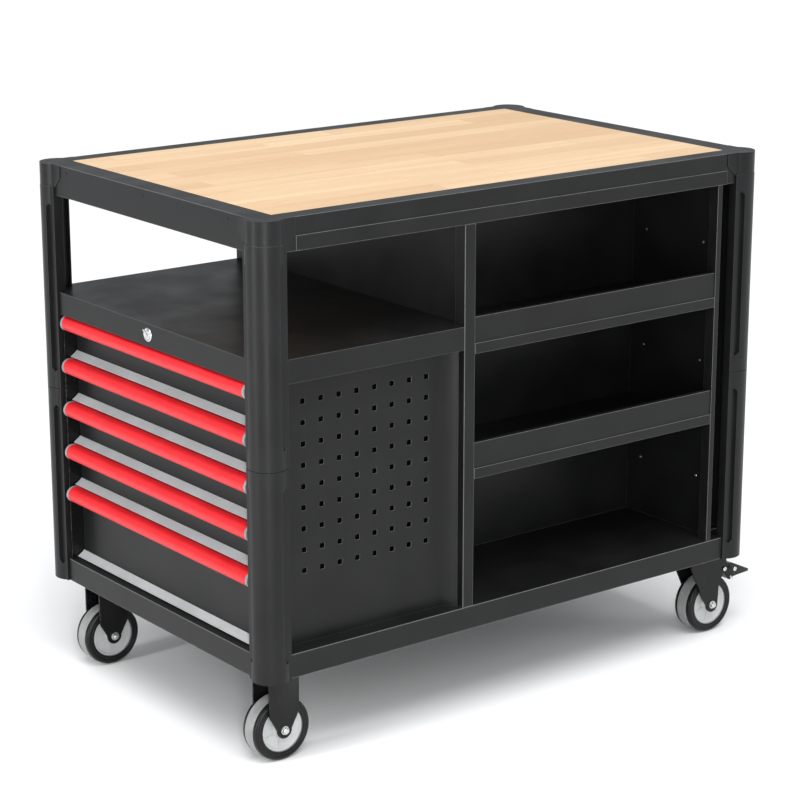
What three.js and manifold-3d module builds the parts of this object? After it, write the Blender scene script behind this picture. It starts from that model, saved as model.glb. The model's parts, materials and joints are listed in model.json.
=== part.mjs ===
// Mobile workbench: a steel frame on four casters with a wooden worktop, five drawers opening at one
// end, a perforated side panel under an open tray, and an open bay with two shelves.
//
// Units are millimetres and +Z is up. While the bench is built, x runs from the drawer end to the
// far end, y from the front long side to the rear one, and z up from the floor. The finished group
// is moved so that its origin is the centre of its box, on the floor.
import * as THREE from 'three';
import Module from 'manifold-3d';

const wasm = await Module();
wasm.setup();

// ---- driving dimensions -------------------------------------------------------------------------

const LENGTH = 1000;                 // over the frame; the round of each post stands a little proud
const DEPTH = 640;
const HEIGHT = 862;
const PEDAL_TIP = 1079;              // the brake pedals reach past the far end
const SHEET = 2;                     // folded steel sheet
const THIN_SHEET = 1.5;
const GAP = 0.5;                     // between fixed neighbours

const SKIN = 4;                      // rails and panels sit this far inside LENGTH and DEPTH
// Posts and caps are a round column with a flange on each side. `centre` and `radius` draw the round
// and `face` is the plane of the flanges, all measured in from the corner of LENGTH and DEPTH.
const POST = {
  centre: 23, radius: 29.6, face: 0, sheet: 2.5, flange: 46, hem: 16, seam: 486, foot: 152, opening: 1,
};
const CAP = {
  centre: 23, radius: 29.1, face: 2.5, sheet: 1.6, flangeSheet: 1.3, height: 37, flange: 64, chamfer: 16,
};
// A groove is pressed into the round beside each flange, as deep as the flange's own plane.
const GROOVE = { from: 30, to: 42.5, end: 34, backing: 2.7, web: -4.5 };
const POST_SPACE = POST.flange + 1;  // square kept clear for a post at each corner
const CORNER_RADIUS = 28;            // of the frame's own corners, inside the caps

const RIM = { bottom: 811, endWidth: 44, sideWidth: 36, lip: 22, ledge: 20, crease: 834 };
const BOARD = 25.5;
const BASE = { top: 190.5, bottom: 152, plateEnd: 140, plateSide: 60 };
const BAND = { top: 650.7, bottom: 613.5 };   // folded edge of the tray above the drawers

const COLUMN = { left: 380, right: 401, back: 28 };
const DIVIDER = { left: 391.5, front: 31 };
const REAR_PANEL = DEPTH - COLUMN.back - GAP;  // its outer face
const BAY = { back: 230, side: 940, jambLeft: 917, jambRight: 927, jambBack: 24 };
const SHELF_TOPS = [609, 406];       // upper and middle shelf
const SHELF = { lip: 54, rail: 15, drop: 4.5 };

const PEG = {
  plane: 35, left: 8, right: 360, columns: 8, rows: 9, pitch: 33.4, hole: 8.5, firstX: 95.4, firstZ: 306.4,
};

const DRAWER = {
  topOfFirst: 611.5, pitch: 73.5, height: 71.5, bottomOfLast: 192.5, count: 5,
  front: { inset: 51, face: 31, lipFace: 18.5, lipRise: 8, deepest: 32.5, underGrip: 15, straightTo: 30 },
  box: { inset: 63, back: 375, floor: 2, rimDrop: 12 },
  runner: { start: 50, height: 18, inset: 56 },
};
const HANDLE = { radius: 13, thickness: 3, centreX: 13.8, back: 27, endAngle: 232 };
const RACK = {
  inset: 48.5, front: 8, back: 386, railStart: 34, railEnd: 380, railHeight: 26, railFace: 5.5,
};

const LOCK = { z: 633, headRadius: 9.5, shaftRadius: 7.6, holeRadius: 8, camLength: 18 };

const WHEEL = { radius: 51, halfWidth: 20, rim: 37, axle: 5, boltHead: 6, boltHeadRadius: 6.5 };
const FORK = { inner: 21, sheet: 3, halfLength: 27.5, nose: 13.5, shoulder: 78 };
const PLATE = { halfLength: 45, halfWidth: 34, sheet: 3 };
const CASTER_Y = 67;
const FIXED_X = 61;
const SWIVEL_X = 945;
const TRAIL = 31;                    // swivel axis to wheel axle
const CROWN = { bottom: 131, top: 134, raceTop: 137.5, raceRadius: 26 };
const KING_PIN = { bossBottom: 138, bossRadius: 24, radius: 6, headRadius: 10, foot: 126 };
const PEDAL = { pivotX: 58, pivotZ: 112, pin: 4, halfWidth: 19, tipHalfWidth: 9, shoulder: 84, tip: 134 };

// Side views drawn in x from the swivel axis and z from the floor.
const SWIVEL_SIDE = {
  back: -22, front: 62,
  leading: [[64, 118], [46, 86]],     // down the leading edge to the wheel
  trailing: [[5.5, 68], [-2, 88], [-22, 128]],
};
const PEDAL_SIDE = [
  [46, 118], [60, 122], [82, 117], [134, 92], [133, 88], [98, 90],   // over the top to the tip
  [82, 90], [78, 86], [72, 90], [64, 100], [50, 106],                // the toe grip and back
];
const KEY_BAR = { out: [0.4, 2.4], along: [-3, 8], halfHeight: 1.6, lean: Math.PI / 5 };

// ---- materials ----------------------------------------------------------------------------------

const coating = { color: 0x2e2f31, roughness: 0.62, metalness: 0.1 };
const darkSteel = { color: 0x151515, roughness: 0.5, metalness: 0.3 };
const beech = { color: 0xf2cfa2, roughness: 0.45, metalness: 0 };
const redGrip = { color: 0xd5202a, roughness: 0.35, metalness: 0 };
const brightSteel = { color: 0xc9cacb, roughness: 0.25, metalness: 1 };
const greyPlastic = { color: 0xc9cac9, roughness: 0.5, metalness: 0 };
const tyreRubber = { color: 0x121212, roughness: 0.55, metalness: 0 };

// ---- shape helpers ------------------------------------------------------------------------------

const AXES = {
  z: new THREE.Matrix4(),
  y: new THREE.Matrix4().makeBasis(            // outline drawn in x and z, pulled towards the rear
    new THREE.Vector3(1, 0, 0), new THREE.Vector3(0, 0, 1), new THREE.Vector3(0, -1, 0)),
  x: new THREE.Matrix4().makeBasis(            // outline drawn in y and z, pulled towards +x
    new THREE.Vector3(0, 1, 0), new THREE.Vector3(0, 0, 1), new THREE.Vector3(1, 0, 0)),
};

function outline(points) {
  return new THREE.Shape(points.map(([a, b]) => new THREE.Vector2(a, b)));
}

// A flat outline given thickness along one axis, from `from` to `to`.
function extrude(shape, axis, from, to) {
  const solid = new THREE.ExtrudeGeometry(shape, { depth: to - from, bevelEnabled: false });
  solid.applyMatrix4(AXES[axis]);
  const start = axis === 'y' ? to : from;
  return solid.translate(axis === 'x' ? start : 0, axis === 'y' ? start : 0, axis === 'z' ? start : 0);
}

function box([x0, x1], [y0, y1], [z0, z1]) {
  return new THREE.BoxGeometry(x1 - x0, y1 - y0, z1 - z0)
    .translate((x0 + x1) / 2, (y0 + y1) / 2, (z0 + z1) / 2);
}

function arc(cx, cy, radius, fromDegrees, toDegrees, steps) {
  return Array.from({ length: steps + 1 }, (_, i) => {
    const angle = THREE.MathUtils.degToRad(fromDegrees + ((toDegrees - fromDegrees) * i) / steps);
    return [cx + radius * Math.cos(angle), cy + radius * Math.sin(angle)];
  });
}

// The closed outline of a sheet of even thickness folded along `path`, lying on the path's right.
function foldedSheet(path, thickness) {
  const normals = path.slice(1).map(([x, y], i) => {
    const [dx, dy] = [x - path[i][0], y - path[i][1]];
    const length = Math.hypot(dx, dy);
    return [dy / length, -dx / length];
  });
  const inner = path.map(([x, y], i) => {
    const a = normals[Math.max(i - 1, 0)];
    const b = normals[Math.min(i, normals.length - 1)];
    const scale = thickness / (1 + a[0] * b[0] + a[1] * b[1]);
    return [x + (a[0] + b[0]) * scale, y + (a[1] + b[1]) * scale];
  });
  return outline([...path, ...inner.reverse()]);
}

function toManifold(geometry) {
  const bare = geometry.clone();
  bare.deleteAttribute('normal');
  bare.deleteAttribute('uv');
  const welded = mergeByPosition(bare);
  return new wasm.Manifold(new wasm.Mesh({ numProp: 3, ...welded }));
}

function mergeByPosition(geometry) {
  const position = geometry.getAttribute('position');
  const source = geometry.index ? geometry.index.array : null;
  const count = source ? source.length : position.count;
  const seen = new Map();
  const vertices = [];
  const corners = [];
  for (let i = 0; i < count; i++) {
    const at = source ? source[i] : i;
    const point = [position.getX(at), position.getY(at), position.getZ(at)];
    const key = point.map((value) => Math.round(value * 1e4)).join();
    if (!seen.has(key)) {
      seen.set(key, seen.size);
      vertices.push(...point);
    }
    corners.push(seen.get(key));
  }
  const whole = [];
  for (let i = 0; i < corners.length; i += 3) {
    const [a, b, c] = corners.slice(i, i + 3);
    if (a !== b && b !== c && c !== a) whole.push(a, b, c);
  }
  return { vertProperties: new Float32Array(vertices), triVerts: new Uint32Array(whole) };
}

function fromManifold(solid) {
  const mesh = solid.getMesh();
  const indexed = new THREE.BufferGeometry();
  indexed.setAttribute('position', new THREE.BufferAttribute(new Float32Array(mesh.vertProperties), 3));
  indexed.setIndex(new THREE.BufferAttribute(new Uint32Array(mesh.triVerts), 1));
  const faceted = indexed.toNonIndexed();
  faceted.computeVertexNormals();
  return faceted;
}

function join(...geometries) {
  return fromManifold(geometries.map(toManifold).reduce((a, b) => a.add(b)));
}

function cut(body, ...tools) {
  const left = tools.map(toManifold).reduce((rest, tool) => rest.subtract(tool), toManifold(body));
  return fromManifold(left);
}

function common(a, b) {
  return fromManifold(toManifold(a).intersect(toManifold(b)));
}

// A cylinder lying along x, y or z, centred at a point.
function rod(axis, radius, length, [x, y, z], segments = 24) {
  const solid = new THREE.CylinderGeometry(radius, radius, length, segments);
  if (axis === 'x') solid.rotateZ(Math.PI / 2);
  if (axis === 'z') solid.rotateX(Math.PI / 2);
  return solid.translate(x, y, z);
}

function mesh(name, geometry, look) {
  const part = new THREE.Mesh(geometry, new THREE.MeshStandardMaterial(look));
  part.name = name;
  return part;
}

// Four copies of a corner piece, drawn with its outer corner at the origin and its flanges along
// +x and +y, one turned into each corner of the bench.
const CORNERS = [
  ['front_left', 0, 0],
  ['front_right', LENGTH, 0],
  ['rear_right', LENGTH, DEPTH],
  ['rear_left', 0, DEPTH],
];

function cornerSet(name, geometry, look) {
  return CORNERS.map(([corner, x, y], quarterTurns) => {
    const piece = mesh(`${name}_${corner}`, geometry.clone(), look);
    piece.position.set(x, y, 0);
    piece.rotation.z = (quarterTurns * Math.PI) / 2;
    return piece;
  });
}

// ---- corner posts and caps ----------------------------------------------------------------------

// The outside of a round column from the plane `face` on one side of the corner to the other.
function columnRound({ centre, radius, face }) {
  const turn = THREE.MathUtils.radToDeg(Math.asin((centre - face) / radius));
  return arc(centre, centre, radius, -turn, turn - 270, 20);
}

// The two strips of a corner piece, one behind each flange, from `from` to `to` along the flange.
function flangeStrips([from, to], [outer, inner], heights) {
  return [box([from, to], [outer, inner], heights), box([outer, inner], [from, to], heights)];
}

// Tools that press the groove, with pointed ends, into both sides of a post.
function grooveTools(bottom, top) {
  const { from, to, end } = GROOVE;
  const half = (to - from) / 2;
  const [low, high] = [bottom + end, top - end];
  const groove = outline([
    [from, low], [from + half, low - half], [to, low], [to, high], [from + half, high + half], [from, high],
  ]);
  const outside = POST.centre - POST.radius - 1;
  return [extrude(groove, 'y', outside, POST.face), extrude(groove, 'x', outside, POST.face)];
}

function postPart(bottom, top) {
  const { face, flange, hem, sheet } = POST;
  const path = [[flange, hem], [flange, face], ...columnRound(POST), [face, flange], [hem, flange]];
  const tube = extrude(foldedSheet(path, sheet), 'z', bottom, top);
  const { from, backing, web } = GROOVE;
  const behind = [
    ...flangeStrips([from - sheet, flange], [face, backing], [bottom, top]),
    ...flangeStrips([from - sheet, from], [web, backing], [bottom, top]),
  ];
  return cut(join(tube, ...behind), ...grooveTools(bottom, top));
}

// A cap closes the corner of the frame: a round shell, two flanges with a slanted lower corner, and a
// top plate that reaches in to the frame's own rounded corner.
function capPart() {
  const { face, sheet, flangeSheet, flange, chamfer } = CAP;
  const [bottom, top] = [HEIGHT - CAP.height, HEIGHT];
  const round = columnRound(CAP);
  const inner = SKIN - GAP;
  const centre = SKIN + CORNER_RADIUS;
  const plate = extrude(outline([
    [flange, face], ...round, [face, flange], [inner, flange],
    ...arc(centre, centre, CORNER_RADIUS + GAP, 180, 270, 8), [flange, inner],
  ]), 'z', top - sheet, top);
  const shell = join(
    extrude(foldedSheet(round, sheet), 'z', bottom, top),
    ...flangeStrips([CAP.centre + 19, flange], [face, face + flangeSheet], [bottom, top]),
    plate,
  );
  const near = flange - chamfer;
  const slant = outline([[near, bottom - 1], [flange + 1, bottom - 1], [flange + 1, bottom + chamfer],
    [flange, bottom + chamfer], [near, bottom]]);
  return cut(shell, extrude(slant, 'y', 0, SKIN), extrude(slant, 'x', 0, SKIN));
}

const capBottom = HEIGHT - CAP.height;
const posts = [
  ...cornerSet('corner_cap', capPart(), coating),
  ...cornerSet('post_upper', postPart(POST.seam + POST.opening, capBottom - GAP / 2), coating),
  ...cornerSet('post_lower', postPart(POST.foot, POST.seam), coating),
];

// ---- worktop ------------------------------------------------------------------------------------

// A rectangle of the bench's plan, `dx` in from each end and `dy` in from each side.
function plan(dx, dy, radius = 0) {
  const [x0, x1, y0, y1] = [dx, LENGTH - dx, dy, DEPTH - dy];
  if (!radius) return [[x0, y0], [x1, y0], [x1, y1], [x0, y1]];
  return [
    ...arc(x0 + radius, y0 + radius, radius, 180, 270, 6),
    ...arc(x1 - radius, y0 + radius, radius, 270, 360, 6),
    ...arc(x1 - radius, y1 - radius, radius, 0, 90, 6),
    ...arc(x0 + radius, y1 - radius, radius, 90, 180, 6),
  ];
}

function ring(outer, inner, from, to) {
  const shape = outline(outer);
  shape.holes.push(outline(inner));
  return extrude(shape, 'z', from, to);
}

// Blocks that clear a square of the plan at each corner, for the posts.
function cornerBlocks(size, from, to) {
  return CORNERS.map(([, x, y]) => {
    const xs = x ? [LENGTH - size, LENGTH + 1] : [-1, size];
    const ys = y ? [DEPTH - size, DEPTH + 1] : [-1, size];
    return box(xs, ys, [from, to]);
  });
}

function topFrame() {
  const edge = plan(SKIN, SKIN, CORNER_RADIUS);
  const well = plan(RIM.endWidth, RIM.sideWidth);
  const ledgeTop = HEIGHT - BOARD - GAP / 2;
  const inside = plan(SKIN + SHEET, SKIN + SHEET, CORNER_RADIUS - SHEET);
  const wellWall = plan(RIM.endWidth - SHEET, RIM.sideWidth - SHEET);
  const frame = join(
    ring(edge, well, HEIGHT - SHEET, HEIGHT),
    ring(edge, inside, RIM.bottom, HEIGHT),
    ring(edge, plan(SKIN + RIM.lip, SKIN + RIM.lip), RIM.bottom, RIM.bottom + SHEET),
    ring(wellWall, well, ledgeTop - SHEET, HEIGHT),
    ring(wellWall, plan(RIM.endWidth + RIM.ledge, RIM.sideWidth + RIM.ledge), ledgeTop - SHEET, ledgeTop),
    ...[SKIN - THIN_SHEET, DEPTH - SKIN].map((y) => box(
      [CAP.flange + GAP, LENGTH - CAP.flange - GAP], [y, y + THIN_SHEET], [RIM.bottom, RIM.crease])),
  );
  return cut(frame, ...cornerBlocks(POST_SPACE, RIM.bottom - 1, HEIGHT - CAP.height + 1.5));
}

const worktopBoard = extrude(
  outline(plan(RIM.endWidth + GAP, RIM.sideWidth + GAP)), 'z', HEIGHT - BOARD, HEIGHT);

// ---- base and cabinet shell ---------------------------------------------------------------------

function baseTray() {
  const edge = plan(SKIN, SKIN);
  const tray = join(
    extrude(outline(edge), 'z', BASE.top - SHEET, BASE.top),
    ring(edge, plan(SKIN + SHEET, SKIN + SHEET), BASE.bottom, BASE.top),
    ring(edge, plan(BASE.plateEnd, BASE.plateSide), BASE.bottom, BASE.bottom + SHEET),
  );
  return cut(tray, ...cornerBlocks(POST_SPACE, BASE.bottom - 1, BASE.top + 1));
}

// The open tray over the drawers: a flat sheet folded down at the drawer end and both sides.
function cabinetTop() {
  const inPost = POST.hem + 2;
  const columnClear = [COLUMN.left - GAP, COLUMN.back + GAP];
  const back = DIVIDER.left - GAP;
  const frontHalf = [[SKIN, POST_SPACE], [inPost, POST_SPACE], [inPost, inPost], [POST_SPACE, inPost],
    [POST_SPACE, SKIN], [columnClear[0], SKIN], columnClear, [back, columnClear[1]]];
  const rearHalf = frontHalf.map(([x, y]) => [x, DEPTH - y]).reverse();
  const sides = [SKIN, DEPTH - SKIN - SHEET];
  const folded = join(
    extrude(outline([...frontHalf, ...rearHalf]), 'z', BAND.top - SHEET, BAND.top),
    box([SKIN, SKIN + SHEET], [POST_SPACE, DEPTH - POST_SPACE], [BAND.bottom, BAND.top]),
    ...sides.map((y) => box([POST_SPACE, columnClear[0]], [y, y + SHEET], [BAND.bottom, BAND.top])),
  );
  return cut(folded, rod('x', LOCK.holeRadius, 3 * SHEET, [SKIN + SHEET / 2, DEPTH / 2, LOCK.z]));
}

function perforatedPanel() {
  const { plane, left, right, columns, rows, pitch, hole, firstX, firstZ } = PEG;
  const edgeX = COLUMN.left - GAP - THIN_SHEET;
  const path = [[edgeX, plane - (edgeX - right)], [right, plane], [left, plane]];
  const sheet = extrude(foldedSheet(path, THIN_SHEET), 'z', BASE.top, BAND.top - SHEET - GAP);
  const holes = [];
  for (let column = 0; column < columns; column++) {
    for (let row = 0; row < rows; row++) {
      const [x, z] = [firstX + column * pitch, firstZ + row * pitch];
      holes.push(box([x - hole / 2, x + hole / 2], [plane - 1, plane + 2 * THIN_SHEET],
        [z - hole / 2, z + hole / 2]));
    }
  }
  return cut(sheet, ...holes);
}

// One sheet closes the rear: low behind the drawers, full height behind the shelf bay.
function rearPanel() {
  const [left, right] = [POST_SPACE, LENGTH - POST_SPACE];
  const step = DIVIDER.left + GAP;
  const top = RIM.bottom - GAP;
  const drawersTop = BAND.top - SHEET - GAP;
  const shape = outline([[left, BASE.top], [right, BASE.top], [right, top], [step, top],
    [step, drawersTop], [left, drawersTop]]);
  return extrude(shape, 'y', REAR_PANEL - THIN_SHEET, REAR_PANEL);
}

// A U-shaped upright with its open side inwards; the rear one is turned end for end.
function columnSection() {
  const depth = COLUMN.back - SKIN;
  const width = COLUMN.right - COLUMN.left;
  const path = [[width, depth], [width, 0], [0, 0], [0, depth]];
  return extrude(foldedSheet(path, SHEET), 'z', BASE.top, RIM.bottom);
}

const columnFront = mesh('column_front', columnSection(), coating);
columnFront.position.set(COLUMN.left, SKIN, 0);
const columnRear = mesh('column_rear', columnSection(), coating);
columnRear.position.set(COLUMN.right, DEPTH - SKIN, 0);
columnRear.rotation.z = Math.PI;

const dividerWall = box([DIVIDER.left, DIVIDER.left + THIN_SHEET],
  [DIVIDER.front, DEPTH - DIVIDER.front], [BASE.top, HEIGHT - BOARD - 4]);

const endPanel = box([LENGTH - SKIN - SHEET, LENGTH - SKIN],
  [POST_SPACE, DEPTH - POST_SPACE], [BASE.top, RIM.bottom]);

// ---- shelf bay ----------------------------------------------------------------------------------

const bayLeft = DIVIDER.left + THIN_SHEET + GAP;
const bayBack = box([bayLeft, BAY.side - GAP], [BAY.back, BAY.back + THIN_SHEET],
  [BASE.top, HEIGHT - BOARD - 4]);

// The side wall of the bay, folded at the front into the stepped jamb beside the opening.
function baySide() {
  const { side, jambLeft, jambRight, jambBack, back } = BAY;
  const path = [[jambRight, SKIN + 10], [jambRight, SKIN], [jambLeft, SKIN], [jambLeft, jambBack],
    [side, jambBack], [side, back + THIN_SHEET]];
  return extrude(foldedSheet(path, THIN_SHEET), 'z', BASE.top, RIM.bottom - GAP);
}

// A shelf with a tall lip along its front edge and a stiffening rail below the lip.
function shelf(top) {
  const front = SKIN + 2;
  const floor = box([bayLeft, BAY.side - GAP], [front + GAP, BAY.back - GAP], [top - THIN_SHEET, top]);
  const reach = [COLUMN.right + GAP, BAY.jambLeft - GAP];
  const lip = box(reach, [front, front + THIN_SHEET], [top - SHELF.drop, top + SHELF.lip]);
  const hem = box(reach, [front, front + 10], [top + SHELF.lip - THIN_SHEET, top + SHELF.lip]);
  const rail = box(reach, [SKIN, front + GAP], [top - SHELF.drop, top - SHELF.drop + SHELF.rail + 2]);
  const cleared = cut(floor,
    box([bayLeft - 1, COLUMN.right + GAP], [0, COLUMN.back + GAP], [top - 5, top + 5]),
    box([BAY.jambLeft - GAP, LENGTH], [0, BAY.jambBack + THIN_SHEET + GAP], [top - 5, top + 5]));
  return join(cleared, lip, hem, rail);
}

// ---- drawers ------------------------------------------------------------------------------------

function drawerLevels(index) {
  const top = DRAWER.topOfFirst - index * DRAWER.pitch;
  const last = index === DRAWER.count - 1;
  return { top, bottom: last ? DRAWER.bottomOfLast : top - DRAWER.height };
}

const runnerLevel = ({ top, bottom }) => (top - DRAWER.box.rimDrop + bottom + DRAWER.box.floor) / 2;

// The hollow-backed grip along a drawer's top edge: a flat top that rolls over and down.
function drawerHandle({ top }) {
  const { radius, thickness, centreX, back, endAngle } = HANDLE;
  const roll = arc(centreX, top - radius, radius, 90, endAngle, 12);
  const section = foldedSheet([[back, top], ...roll].reverse(), thickness);
  return extrude(section, 'y', DRAWER.front.inset, DEPTH - DRAWER.front.inset);
}

function drawerFront({ top, bottom }) {
  const { inset, face, lipFace, lipRise, deepest, underGrip, straightTo } = DRAWER.front;
  const ledge = top - HANDLE.thickness - THIN_SHEET - 0.4;
  const path = [[underGrip, ledge], [face - 2, ledge], [face, top - straightTo],
    [face, bottom + lipRise + 1], [lipFace, bottom], [deepest, bottom]];
  return extrude(foldedSheet(path.reverse(), THIN_SHEET), 'y', inset, DEPTH - inset);
}

// The open tray behind a front, from the plane `start`, with a runner bar along each side.
function drawerTray({ top, bottom }, start) {
  const { inset: side, back, floor, rimDrop } = DRAWER.box;
  const ys = [side, DEPTH - side];
  const zs = [bottom + floor, top - rimDrop];
  const hollow = box([DRAWER.front.deepest + THIN_SHEET, back - THIN_SHEET],
    [side + THIN_SHEET, DEPTH - side - THIN_SHEET], [zs[0] + THIN_SHEET, zs[1] + 1]);
  const { start: runnerStart, height, inset: outer } = DRAWER.runner;
  const level = runnerLevel({ top, bottom });
  const runners = [[outer, side + 0.5], [DEPTH - side - 0.5, DEPTH - outer]].map((span) => box(
    [runnerStart, back], span, [level - height / 2, level + height / 2]));
  return join(cut(box([start, back], ys, zs), hollow), ...runners);
}

// A shallow drawer's front and tray are one piece. The deep drawer's front is fixed to its tray.
function drawerSheets(index) {
  const levels = drawerLevels(index);
  const front = drawerFront(levels);
  const { face } = DRAWER.front;
  const number = index + 1;
  if (number < DRAWER.count) {
    return [mesh(`drawer_box_${number}`, join(front, drawerTray(levels, face + 0.7)), coating)];
  }
  return [
    mesh(`drawer_box_${number}`, drawerTray(levels, face + THIN_SHEET + GAP / 2), coating),
    mesh(`drawer_front_${number}`, front, coating),
  ];
}

// A side plate with one fixed rail per drawer; `outer` is the plate's y, `towards` the drawers' side.
function slideRack(outer, towards) {
  const span = (a, b) => [outer + towards * a, outer + towards * b].sort((p, q) => p - q);
  const plate = box([RACK.front, RACK.back], span(0, THIN_SHEET), [BASE.top + 1, BAND.top - SHEET - 1]);
  const rails = Array.from({ length: DRAWER.count }, (_, index) => {
    const level = runnerLevel(drawerLevels(index));
    return box([RACK.railStart, RACK.railEnd], span(THIN_SHEET / 2, THIN_SHEET + RACK.railFace),
      [level - RACK.railHeight / 2, level + RACK.railHeight / 2]);
  });
  return join(plate, ...rails);
}

// The turning part of the cam lock, with a raised bar across its face for the key.
function lockPlug() {
  const [y, z] = [DEPTH / 2, LOCK.z];
  const { out, along, halfHeight, lean } = KEY_BAR;
  const bar = box(out, along, [-halfHeight, halfHeight]).rotateX(-lean).translate(0, y, z);
  return join(
    rod('x', LOCK.headRadius, 1.7, [2.9, y, z]),
    rod('x', LOCK.shaftRadius, 16.5, [SKIN + 8, y, z]),
    box([18, 20], [y, y + LOCK.camLength], [z - 5, z + 5]),
    bar,
  );
}

// ---- casters ------------------------------------------------------------------------------------

function lathe(profile, segments) {
  return new THREE.LatheGeometry(profile.map(([r, y]) => new THREE.Vector2(r, y)), segments);
}

// A closed ring section turned about the y axis.
function turnedRing(halfProfile, segments = 32) {
  const mirrored = halfProfile.map(([r, y]) => [r, -y]).reverse();
  return fromManifold(toManifold(lathe([...mirrored, ...halfProfile, mirrored[0]], segments)));
}

const hubShape = () => turnedRing(
  [[WHEEL.rim - 0.3, 15.5], [33, 16], [31, 13.5], [14, 12.5], [11, 18.5], [WHEEL.axle + 0.4, 18.5]], 28);
const tyreShape = () => turnedRing(
  [[WHEEL.radius, 15.5], [50, 18.2], [47, WHEEL.halfWidth], [40, WHEEL.halfWidth], [WHEEL.rim, 18]]);

function axleShape() {
  const { inner, sheet } = FORK;
  const { axle, boltHead, boltHeadRadius } = WHEEL;
  const centre = inner + sheet + boltHead / 2 + 0.2;
  return join(
    rod('y', axle, 2 * (inner + sheet + boltHead), [0, 0, 0]),
    ...[-centre, centre].map((y) => rod('y', boltHeadRadius, boltHead, [0, y, 0], 6)),
  );
}

const outerHalf = FORK.inner + FORK.sheet;

// The two side plates of a fork, cut to one outline with round holes given as x, z and radius.
function forkSides(sideOutline, ...holes) {
  const { inner, sheet } = FORK;
  return [[-outerHalf, -inner], [inner, outerHalf]].map(([from, to]) => cut(
    extrude(outline(sideOutline), 'y', from, to),
    ...holes.map(([x, z, radius]) => rod('y', radius, 3 * sheet, [x, (from + to) / 2, z])),
  ));
}

function noseArc(x) {
  return arc(x, WHEEL.radius, FORK.nose, 5, -185, 14);
}

function fixedFork() {
  const { halfLength, shoulder } = FORK;
  const sideOutline = [[-halfLength, shoulder], [-halfLength, BASE.bottom - 1],
    [halfLength, BASE.bottom - 1], [halfLength, shoulder], ...noseArc(0)];
  return join(
    box([-PLATE.halfLength, PLATE.halfLength], [-PLATE.halfWidth, PLATE.halfWidth],
      [BASE.bottom - PLATE.sheet, BASE.bottom]),
    ...forkSides(sideOutline, [0, WHEEL.radius, WHEEL.axle + 0.3]),
  );
}

function swivelPlate() {
  const { bossBottom, bossRadius, radius, headRadius, foot } = KING_PIN;
  const plateBottom = BASE.bottom - PLATE.sheet;
  const between = (low, high) => [high - low, [0, 0, (high + low) / 2]];
  return join(
    box([-PLATE.halfLength, PLATE.halfLength], [-PLATE.halfWidth, PLATE.halfWidth],
      [plateBottom, BASE.bottom]),
    rod('z', bossRadius, ...between(bossBottom, plateBottom + 1)),
    rod('z', radius, ...between(foot, plateBottom)),
    rod('z', headRadius, ...between(foot, CROWN.bottom - 1.5)),
  );
}

function swivelFork() {
  const { back, front, leading, trailing } = SWIVEL_SIDE;
  const sideOutline = [
    [back, CROWN.top], [front, CROWN.top], ...leading, ...noseArc(TRAIL), ...trailing,
  ];
  const holes = [[TRAIL, WHEEL.radius, WHEEL.axle + 0.3], [PEDAL.pivotX, PEDAL.pivotZ, PEDAL.pin + 0.4]];
  const crown = join(
    box([back, front], [-outerHalf, outerHalf], [CROWN.bottom, CROWN.top]),
    rod('z', CROWN.raceRadius, CROWN.raceTop - CROWN.bottom, [0, 0, (CROWN.raceTop + CROWN.bottom) / 2]),
  );
  const bored = cut(crown, rod('z', KING_PIN.radius + GAP, 20, [0, 0, CROWN.bottom]));
  return join(bored, ...forkSides(sideOutline, ...holes));
}

// The brake pedal: a lever between the fork sides, narrowing to its tip, with its pivot pin.
function brakePedal() {
  const { halfWidth, tipHalfWidth, pivotX, pivotZ, pin, shoulder, tip } = PEDAL;
  const lever = extrude(outline(PEDAL_SIDE), 'y', -halfWidth, halfWidth);
  const seenFromAbove = extrude(outline([
    [0, -halfWidth], [shoulder, -halfWidth], [tip, -tipHalfWidth],
    [tip, tipHalfWidth], [shoulder, halfWidth], [0, halfWidth],
  ]), 'z', 0, HEIGHT);
  return join(common(lever, seenFromAbove), rod('y', pin, 2 * outerHalf + 4, [pivotX, 0, pivotZ]));
}

function wheel(side, kind) {
  const group = new THREE.Group();
  group.name = `${kind}_wheel_${side}`;
  group.add(mesh(`${kind}_hub_${side}`, hubShape(), greyPlastic));
  group.add(mesh(`${kind}_tyre_${side}`, tyreShape(), tyreRubber));
  group.add(mesh(`${kind}_axle_${side}`, axleShape(), brightSteel));
  return group;
}

function fixedCaster(side, y) {
  const group = new THREE.Group();
  group.position.set(FIXED_X, y, 0);
  const rolling = wheel(side, 'fixed');
  rolling.position.z = WHEEL.radius;
  group.add(mesh(`fixed_fork_${side}`, fixedFork(), darkSteel), rolling);
  return group;
}

function swivelCaster(side, y) {
  const group = new THREE.Group();
  group.position.set(SWIVEL_X, y, 0);
  const rolling = wheel(side, 'swivel');
  rolling.position.set(TRAIL, 0, WHEEL.radius);
  group.add(
    mesh(`swivel_plate_${side}`, swivelPlate(), darkSteel),
    mesh(`swivel_fork_${side}`, swivelFork(), darkSteel),
    mesh(`brake_pedal_${side}`, brakePedal(), darkSteel),
    rolling,
  );
  return group;
}

// ---- assembly -----------------------------------------------------------------------------------

const bench = new THREE.Group();
bench.name = 'workbench';
bench.position.set(-(PEDAL_TIP + POST.centre - POST.radius) / 2, -DEPTH / 2, 0);

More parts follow.
